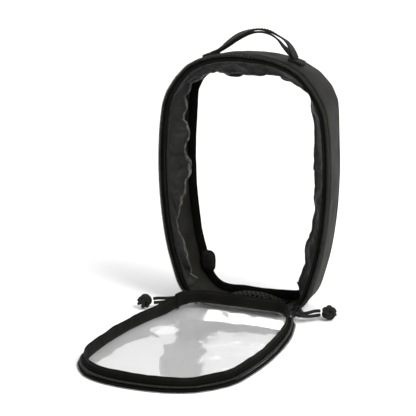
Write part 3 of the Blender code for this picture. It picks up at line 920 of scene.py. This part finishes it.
def panel(name, edge, material, thick, wave, seed):
    """A film across a ring, as rows from its right side to its left, with low waves and long creases."""
    columns = 120
    upright = np.ptp(edge[:, 2]) > np.ptp(edge[:, 1])
    height = edge[:, 2] - edge[0, 2] if upright else edge[0, 1] - edge[:, 1]
    first = int(np.argmax(height > 0.3 * MM)) - 1
    normal = np.array([0.0, 1.0, 0.0]) if upright else np.array([0.0, 0.0, 1.0])
    last = COUNT // 2
    rows = []
    for i in range(first, last):
        up = (i - first) / (last - first)
        row = []
        for u in np.linspace(0, 1, columns):
            p = edge[i] * (1 - u) + edge[COUNT - i] * u
            fade = min(1, 9 * u, 9 * (1 - u), 9 * up, 9 * (1 - up))
            bend = noise.fractal(Vector(p) * 14 + Vector((seed, 0, 0)), 1.0, 2.0, 1)
            long = Vector((p[0] * 20 + (p[1] + p[2]) * 16, p[0] * 4 - (p[1] + p[2]) * 3, seed))
            crease = math.exp(-((noise.noise(long) / 0.06) ** 2))
            row.append(p + normal * wave * fade * (bend + 0.26 * crease))
        rows.append(row)
    film = surface(name, rows, material, False)
    thicken(film, thick)
    return film


def make_rear():
    inner = 8.5 * MM
    wave = 0.5 * MM * ripple(0.022, 51)
    rows = []
    for by, y in ((0.0, REAR - 1.0 * MM), (0.4 * MM, REAR - 0.1 * MM), (2.5 * MM, REAR), (6.5 * MM, REAR),
                  (inner - 0.3 * MM, REAR - 0.1 * MM), (inner, REAR - 0.7 * MM),
                  (inner - 0.3 * MM, REAR - 1.3 * MM), (2.5 * MM, REAR - 1.4 * MM),
                  (0.3 * MM, REAR - 1.4 * MM)):
        share = max(0.0, (by - 3 * MM) / inner)
        rows.append(body_ring(y, by + wave * share))
    wear(band("rear_border_tape", rows, "binding"), "bag", "shell", "rear_border")
    for number, by in ((1, 1.9 * MM), (2, 6.9 * MM)):
        line = body_ring(REAR + 0.1 * MM, by)
        wear(stitches(f"rear_border_stitching_{number}", line, closed=True, face=(0, 1, 0)), "bag", "shell")

    low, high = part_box("rear_binding")
    wave = ripple(0.026, 52)
    ring = REAR_RING
    foot = 1.6 * MM * np.exp(-((ring[:, 1] / (13 * MM)) ** 2)) * np.clip(0.55 + ring[:, 0] / 0.07, 0, 1.3)
    rows = []
    for by, y, share in ((2.0, high.y, 0), (5.0, high.y, 0.3), (8.2, high.y - 0.2 * MM, 1.0),
                         (8.9, (low.y + high.y) / 2, 1.1), (8.2, low.y + 0.1 * MM, 1.0),
                         (5.0, low.y - 0.3 * MM, 0.4), (2.0, low.y, 0.0)):
        rows.append(body_ring(y - 0.5 * MM * share * np.abs(wave),
                              by * MM + (0.9 * MM * wave + foot) * share))
    wear(band("rear_binding_tape", rows, "binding"), "bag", "binding", "rear_binding")

    film_low, film_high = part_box("rear_window")
    edge = body_ring((film_low.y + film_high.y) / 2, 2.4 * MM)
    film = panel("rear_film", edge, "rear_film", 0.5 * MM, 0.20 * MM, 3.3)
    wear(film, "bag", "vinyl", "rear_window")
    make_pockets()


def make_pockets():
    """A soft domed pocket over each magnet, sewn down all round."""
    for number in range(1, 5):
        low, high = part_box(f"magnet_pocket_{number}")
        centre = (low + high) / 2
        radius = (high.x - low.x) / 2
        wide, tall = (1.0, 1.4) if centre.z < HEIGHT / 2 else (1.4, 1.0)
        rows = []
        steps = 72
        for share, rise in ((0.01, 0.12), (0.6, 0.12), (1.1, 0.12), (1.14, 0.2), (1.10, 0.4), (1.0, 0.6),
                            (0.93, 2.2), (0.84, 3.6), (0.70, 4.3), (0.45, 4.6), (0.2, 4.7), (0.01, 4.7)):
            row = []
            for k in range(steps):
                a = 2 * math.pi * k / steps
                square = (abs(math.cos(a)) ** 3.2 + abs(math.sin(a)) ** 3.2) ** (-1 / 3.2)
                r = radius * share * (1 + (square - 1) * 0.8)
                pucker = 0.3 * MM * math.sin(11 * a + number) * (1 if 0.6 < share < 1.05 else 0.2)
                row.append((centre.x + (r + pucker) * math.cos(a) * wide, high.y - rise * MM,
                            centre.z + (r + pucker) * math.sin(a) * tall))
            rows.append(row)
        pocket = surface(f"magnet_pocket_cloth_{number}", rows, "patch")
        thicken(pocket, 0.5 * MM)
        wear(pocket, "bag", "shell", f"magnet_pocket_{number}")
        ring = [Vector(p) + Vector((0, -0.35 * MM, 0)) for p in rows[4]]
        line = stitches(f"magnet_pocket_stitching_{number}", ring, 2.6 * MM, (1.8 * MM, 0.28 * MM), True,
                        face=(0, -1, 0))
        wear(line, "bag", "shell")
        dress(f"magnet_{number}", "magnet")


NET_DOME = 8.6 * MM


def make_net():
    """The open net in the foot: real hexagonal holes between flat yarns, domed so that it shows."""
    low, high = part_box("floor_mesh")
    pitch = 4.6 * MM
    hole = 0.36 * pitch * 2 / math.sqrt(3) * 1.22
    bm = bmesh.new()
    down = pitch * math.sqrt(3) / 2
    rows = int((high.y - low.y) / down) + 2
    columns = int((high.x - low.x) / pitch) + 2
    for j in range(rows):
        for i in range(columns):
            cx = low.x + (i + 0.5 * (j % 2)) * pitch
            cy = low.y + j * down
            outer, inner = [], []
            for k in range(6):
                a = math.pi / 6 + k * math.pi / 3
                reach = pitch / math.sqrt(3)
                outer.append(bm.verts.new((cx + reach * math.cos(a), cy + reach * math.sin(a), 0)))
                inner.append(bm.verts.new((cx + hole * math.cos(a), cy + hole * math.sin(a), 0)))
            for k in range(6):
                n = (k + 1) % 6
                bm.faces.new((outer[k], outer[n], inner[n], inner[k]))
    bmesh.ops.remove_doubles(bm, verts=bm.verts, dist=0.05 * MM)
    bmesh.ops.subdivide_edges(bm, edges=bm.edges, cuts=1)
    middle = (low + high) / 2
    half = (high - low) / 2
    for v in bm.verts:
        v.co.x = min(max(v.co.x, low.x), high.x)
        v.co.y = min(max(v.co.y, low.y), high.y)
        u, w = (v.co.x - middle.x) / half.x, (v.co.y - middle.y) / half.y
        dome = max(0.0, 1 - u * u) * max(0.0, 1 - w * w)
        v.co.z = 1.1 * MM + NET_DOME * dome ** 0.7 * (1 + 0.30 * w) + 0.25 * MM * noise.noise(v.co * 90)
    bmesh.ops.dissolve_degenerate(bm, edges=bm.edges, dist=0.02 * MM)
    bmesh.ops.recalc_face_normals(bm, faces=bm.faces)
    mesh = bpy.data.meshes.new("floor_net")
    bm.to_mesh(mesh)
    bm.free()
    net = add_object("floor_net", mesh, "net")
    thicken(net, 0.7 * MM)
    wear(net, "bag", "mesh", "floor_mesh")
    path = [(low.x - 1 * MM, low.y - 1 * MM), (high.x + 1 * MM, low.y - 1 * MM),
            (high.x + 1 * MM, high.y + 1 * MM), (low.x - 1 * MM, high.y + 1 * MM)]
    rows = []
    for out, z in ((-2.0, 1.6), (-2.0, 2.3), (2.0, 2.5), (2.0, 1.6)):
        row = []
        for k, (x, y) in enumerate(path):
            nx, ny = path[(k + 1) % 4]
            for s in range(24):
                t = s / 24
                px, py = x + (nx - x) * t, y + (ny - y) * t
                row.append((px + out * MM * np.sign(px) * (abs(px) > high.x - 2 * MM),
                            py + out * MM * np.sign(py - middle.y) * (abs(py - middle.y) > half.y - 2 * MM),
                            z * MM))
        rows.append(row)
    wear(band("floor_net_binding", rows, "binding"), "bag", "mesh")


# ---------------------------------------------------------------- the lid


def make_lid():
    wall = 1.6 * MM
    lean = 0.7 * MM * ripple(0.034, 61) + 0.3 * MM * ripple(0.012, 62)
    crest = 0.45 * MM * ripple(0.028, 63)
    start = RIM_INSET
    rows = []
    for z, by, share in ((0.6, 0.0, 0), (4.0, 0.0, 0.3), (8.0, 0.0, 0.7), (11.2, 0.05, 1), (12.1, 0.35, 1.0),
                         (12.5, 0.8, 1), (12.1, 1.25, 1), (11.2, 1.55, 1), (8.0, 1.6, 0.7), (4.0, 1.6, 0.3),
                         (0.6, 1.6, 0)):
        rows.append(lid_ring(z * MM + crest * share * z / 12, start + by * MM + lean * share))
    wear(band("lid_rim_cloth", rows, "rim"), "lid", "binding", "lid_rim_band")
    for number, z in ((1, 10.2), (2, 2.6)):
        inner = lid_ring(z * MM + crest * 0.8, start + wall + lean * z / 12 + 0.12 * MM)
        wear(stitches(f"lid_rim_stitching_{number}", inner, closed=True, face=(0, 0, 1)), "lid", "binding")

    first, last = corner_span()
    run = np.arange(first, last)
    tape = [lid_ring(z * MM + crest * share, by * MM + lean * share * 0.6)
            for z, by, share in ((2.6, 4.1, 0), (4.4, 4.3, 0.2), (6.4, 4.4, 0.4), (8.4, 4.6, 0.6))]
    wear(surface("zip_tape_lid", [r[run] for r in tape], "zip_tape", False, 0.6 * MM), "lid", "zip_tape",
         "lid_zip_tape")
    centre = lid_ring(4.4 * MM, 2.5 * MM)[run]
    coil = helix(centre, 2.4 * MM, 2.0 * MM, 1.5 * MM, (0, 0, 1))
    wear(wire("zip_coil_lid", coil, 0.33 * MM, "zip_coil"), "lid", "zip_coil", "lid_zip_coil")
    wear(tube("zip_coil_lid_core", centre, 0.6 * MM, "thread", 8), "lid", "zip_coil")
    pipe = lid_ring(1.45 * MM, 1.4 * MM + 0.15 * MM * ripple(0.02, 64))[run]
    wear(tube("lid_piping_cord", pipe, 1.3 * MM, "binding", 12), "lid", "binding", "lid_edge_piping")
    # The lip strip is pale grey as a painted highlight along the film's edge.
    lip_wave = 0.35 * MM * np.abs(ripple(0.03, 65))
    lip = [lid_ring(0.35 * MM + lip_wave * share, by * MM)
           for by, share in ((0.9, 0.2), (0.2, 0.6), (-1.1, 1.4))]
    wear(surface("lid_film_lip", [r[run] for r in lip], "lip", False, 0.35 * MM), "lid", "vinyl")

    edge = lid_ring(0.95 * MM, start + wall + 0.1 * MM)
    film = panel("lid_film", edge, "lid_film", 0.4 * MM, 1.4 * MM, 7.7)
    wear(film, "lid", "vinyl", "lid_window")
    make_overlap(crest, lean)


def corner_span():
    """The stretch of the lid's ring that its zip follows."""
    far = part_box("lid_zip_tape")[1].y
    along = -LID_RING[:, 1]
    inside = np.where(along < far)[0]
    return inside[0], inside[-1] + 1


def make_overlap(crest, lean):
    """The rim band's two ends lap over each other near the left end of the hinge, sewn down."""
    at = -0.054
    side = LID_RING[:, 1] < LID_RING[:, 1].min() + 12 * MM
    spot = int(np.argmin(np.abs(LID_RING[:, 0] - at) + np.where(side, 0, 1)))
    span = [(spot + k) % COUNT for k in range(-5, 6)]
    rows = []
    for z, by in ((0.9, 1.75), (0.9, 2.25), (6.0, 2.3), (12.3, 2.2), (13.1, 1.5), (13.2, 0.8), (13.1, 0.1),
                  (12.3, -0.5), (6.0, -0.55), (0.9, -0.5), (0.9, -0.1)):
        share = min(1.0, z / 11)
        rows.append(lid_ring(z * MM + crest * share, RIM_INSET + by * MM + lean * share)[span])
    lap = surface("lid_rim_lap", rows, "rim", False, 0.35 * MM)
    wear(lap, "lid", "binding")


def make_hinge():
    """The cloth that the lid folds on, from under the bag's front edge to the lid's inner wall."""
    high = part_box("hinge_strip")[1]
    flare = 9 * MM
    wide = high.x + flare
    xs = np.linspace(-wide, wide, 81)
    profile = [(-20.5, 0.75), (-23.5, 0.75), (-25.6, 1.4), (-27.2, 3.0), (-28.4, 4.6), (-29.6, 5.7),
               (-30.8, 6.3), (-31.8, 6.9), (-32.0, 8.2), (-32.0, 10.6)]
    profile = smooth_path([Vector((0, y * MM, z * MM)) for y, z in profile], 3)
    rows = []
    for p in profile:
        curl = [0.12 * MM * noise.noise(Vector((x * 120, p.y * 90, 3.1))) for x in xs]
        rise = np.clip((np.abs(xs) - high.x) / flare, 0, 1) ** 2 * 2.6 * MM
        rows.append([(x, p.y, p.z + c + r * (p.y > -29 * MM)) for x, c, r in zip(xs, curl, rise)])
    cloth = surface("hinge_cloth", rows, "rim", False, 0.6 * MM)
    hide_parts("hinge_strip")
    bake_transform(cloth)


# ---------------------------------------------------------------- the handle


ARCH = [(-40.0, -2.6), (-34.5, -0.4), (-26.5, 5.2), (-21.5, 9.0), (-16.0, 12.8), (-9.0, 16.4), (0.0, 19.6),
        (8.0, 20.5), (16.0, 19.2), (23.5, 15.6), (28.8, 11.8), (33.0, 7.6), (36.8, 3.0), (40.5, -2.4)]
STRAP_SIDES = 12
STRAP_TWIST = math.radians(24)
LAYER_RISE = 0.98 * MM
LAYER_HALF = 0.84 * MM
STITCH_RISE = 1.98 * MM


def strap_frame(centre, i, t):
    """Across and up for the strap at point i, with the slow twist that it has over its length."""
    way = (centre[min(i + 1, len(centre) - 1)] - centre[max(i - 1, 0)]).normalized()
    up = Vector((-way.z, 0, way.x))
    twist = STRAP_TWIST * math.sqrt(math.sin(math.pi * t)) * math.sin(2 * math.pi * t + 0.2)
    across = Vector((0, 1, 0)) * math.cos(twist) + up * math.sin(twist)
    lift = up * math.cos(twist) - Vector((0, 1, 0)) * math.sin(twist)
    return across, lift


def make_handle():
    """Webbing folded double: two layers sewn together over the arch that part near the right end."""
    low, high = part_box("grab_handle")
    arch = smooth_path([Vector((x * MM, 0, z * MM)) for x, z in ARCH], 8)
    foot = low.z + 1.2 * MM
    centre = [p + Vector((0, 0, foot)) for p in arch]
    count = len(centre)
    half = (high.y - low.y) / 2
    along = lengths([list(p) for p in centre])
    for name, side in (("outer", 1), ("inner", -1)):
        rows = [[] for _ in range(STRAP_SIDES)]
        for i, p in enumerate(centre):
            t = along[i] / along[-1]
            across, lift = strap_frame(centre, i, t)
            part = 1.5 * MM * math.exp(-((t - 0.84) / 0.085) ** 2)
            ends = min(1.0, 0.80 + 0.20 * min(along[i], along[-1] - along[i]) / (8 * MM))
            rise = side * (LAYER_RISE * ends + part)
            pinch = (1.16 - 0.12 * math.sin(math.pi * t) ** 2) * ends
            for k, row in enumerate(rows):
                a = 2 * math.pi * k / STRAP_SIDES
                wide = math.copysign(abs(math.cos(a)) ** 0.35, math.cos(a)) * half * pinch
                tall = math.copysign(abs(math.sin(a)) ** 0.6, math.sin(a)) * LAYER_HALF * ends
                bow = side * 0.3 * MM * (1 - (wide / half) ** 2) * math.sin(math.pi * t)
                row.append(p + across * wide + lift * (rise + tall + bow))
        strap = band(f"handle_webbing_{name}", rows, "webbing", False)
        cap_ends(strap)
        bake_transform(strap)
        if name == "outer":
            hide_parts("grab_handle")
            for number, share in ((1, 0.78), (2, -0.78)):
                line = []
                for i, p in enumerate(centre[int(count * 0.12):int(count * 0.80)], int(count * 0.12)):
                    t = along[i] / along[-1]
                    across, lift = strap_frame(centre, i, t)
                    pinch = 1.16 - 0.12 * math.sin(math.pi * t) ** 2
                    line.append(p + across * half * share * pinch + lift * STITCH_RISE)
                wear(stitches(f"handle_stitching_{number}", line, 2.8 * MM, face=(0, 0, 1)),
                     "handle", "webbing")


def cap_ends(obj):
    """Closes the two ends of a band that is open along its length."""
    bm = bmesh.new()
    bm.from_mesh(obj.data)
    bmesh.ops.remove_doubles(bm, verts=bm.verts, dist=0.001 * MM)
    edges = [e for e in bm.edges if e.is_boundary]
    bmesh.ops.holes_fill(bm, edges=edges, sides=0)
    bmesh.ops.recalc_face_normals(bm, faces=bm.faces)
    bm.to_mesh(obj.data)
    bm.free()
    obj.data.shade_smooth()
    obj.data.set_sharp_from_angle(angle=math.radians(50))


def make_tabs():
    """The sewn-down webbing patches that hold the handle, each with a boxed cross of stitches."""
    for side, sign in (("left", -1), ("right", 1)):
        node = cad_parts[f"handle_tab_{side}"]
        points = np.array([list(v.co) for v in node.data.vertices])
        centre = Vector((points.max(0) + points.min(0)) / 2)
        slope = math.atan2(np.ptp(points[:, 2]) - 1.2 * MM, np.ptp(points[:, 0])) * -sign
        turn = Matrix.Rotation(-slope, 4, "Y")
        long, wide = 14 * MM, 13 * MM
        rows = []
        for share, rise in ((0.98, -2.8), (1.0, -0.6), (1.03, -0.1), (1.0, 0.4), (0.93, 0.62),
                            (0.55, 0.66), (0.05, 0.68)):
            row = []
            for k in range(64):
                a = 2 * math.pi * k / 64
                square = (abs(math.cos(a)) ** 6 + abs(math.sin(a)) ** 6) ** (-1 / 6)
                p = Vector((long / 2 * share * square * math.cos(a), wide / 2 * share * square * math.sin(a),
                            rise * MM))
                row.append(centre + turn @ p)
            rows.append(row)
        wear(surface(f"handle_patch_{side}", rows, "webbing", True, 0.4 * MM), "bag", "webbing",
             f"handle_tab_{side}")
        box = [(-0.4, -0.38), (0.4, -0.38), (0.4, 0.38), (-0.4, 0.38), (-0.4, -0.38), (0.4, 0.38)]
        line = []
        for (ax, ay), (bx, by) in zip(box, box[1:]):
            for k in range(10):
                t = k / 10
                line.append(centre + turn @ Vector(((ax + (bx - ax) * t) * long, (ay + (by - ay) * t) * wide,
                                                    0.85 * MM)))
        wear(stitches(f"handle_patch_stitching_{side}", line, 1.9 * MM, (1.5 * MM, 0.28 * MM)),
             "bag", "webbing")


# ---------------------------------------------------------------- sliders and pullers


def dress(name, material):
    """Shows a CAD node as it is, in one material."""
    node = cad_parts[name]
    node.data.materials.clear()
    node.data.materials.append(MATERIALS[material])
    return node


def make_sliders():
    for side in ("left", "right"):
        round_edges(dress(f"slider_{side}", "metal"), 0.5 * MM)
        smooth = dress(f"puller_{side}", "metal").modifiers.new("smooth", "SUBSURF")
        smooth.levels = smooth.render_levels = 1
        round_edges(dress(f"zip_stop_{side}", "metal"), 0.4 * MM)


def round_edges(obj, width):
    bevel = obj.modifiers.new("bevel", "BEVEL")
    bevel.width = width
    bevel.segments = 3
    bevel.limit_method = "ANGLE"
    bevel.angle_limit = math.radians(40)


def main():
    make_materials()
    make_camera()
    make_stage()
    make_cords()
    make_gusset()
    make_front_ring()
    make_facing()
    make_rear()
    make_net()
    make_lid()
    make_hinge()
    make_handle()
    make_tabs()
    make_sliders()


main()
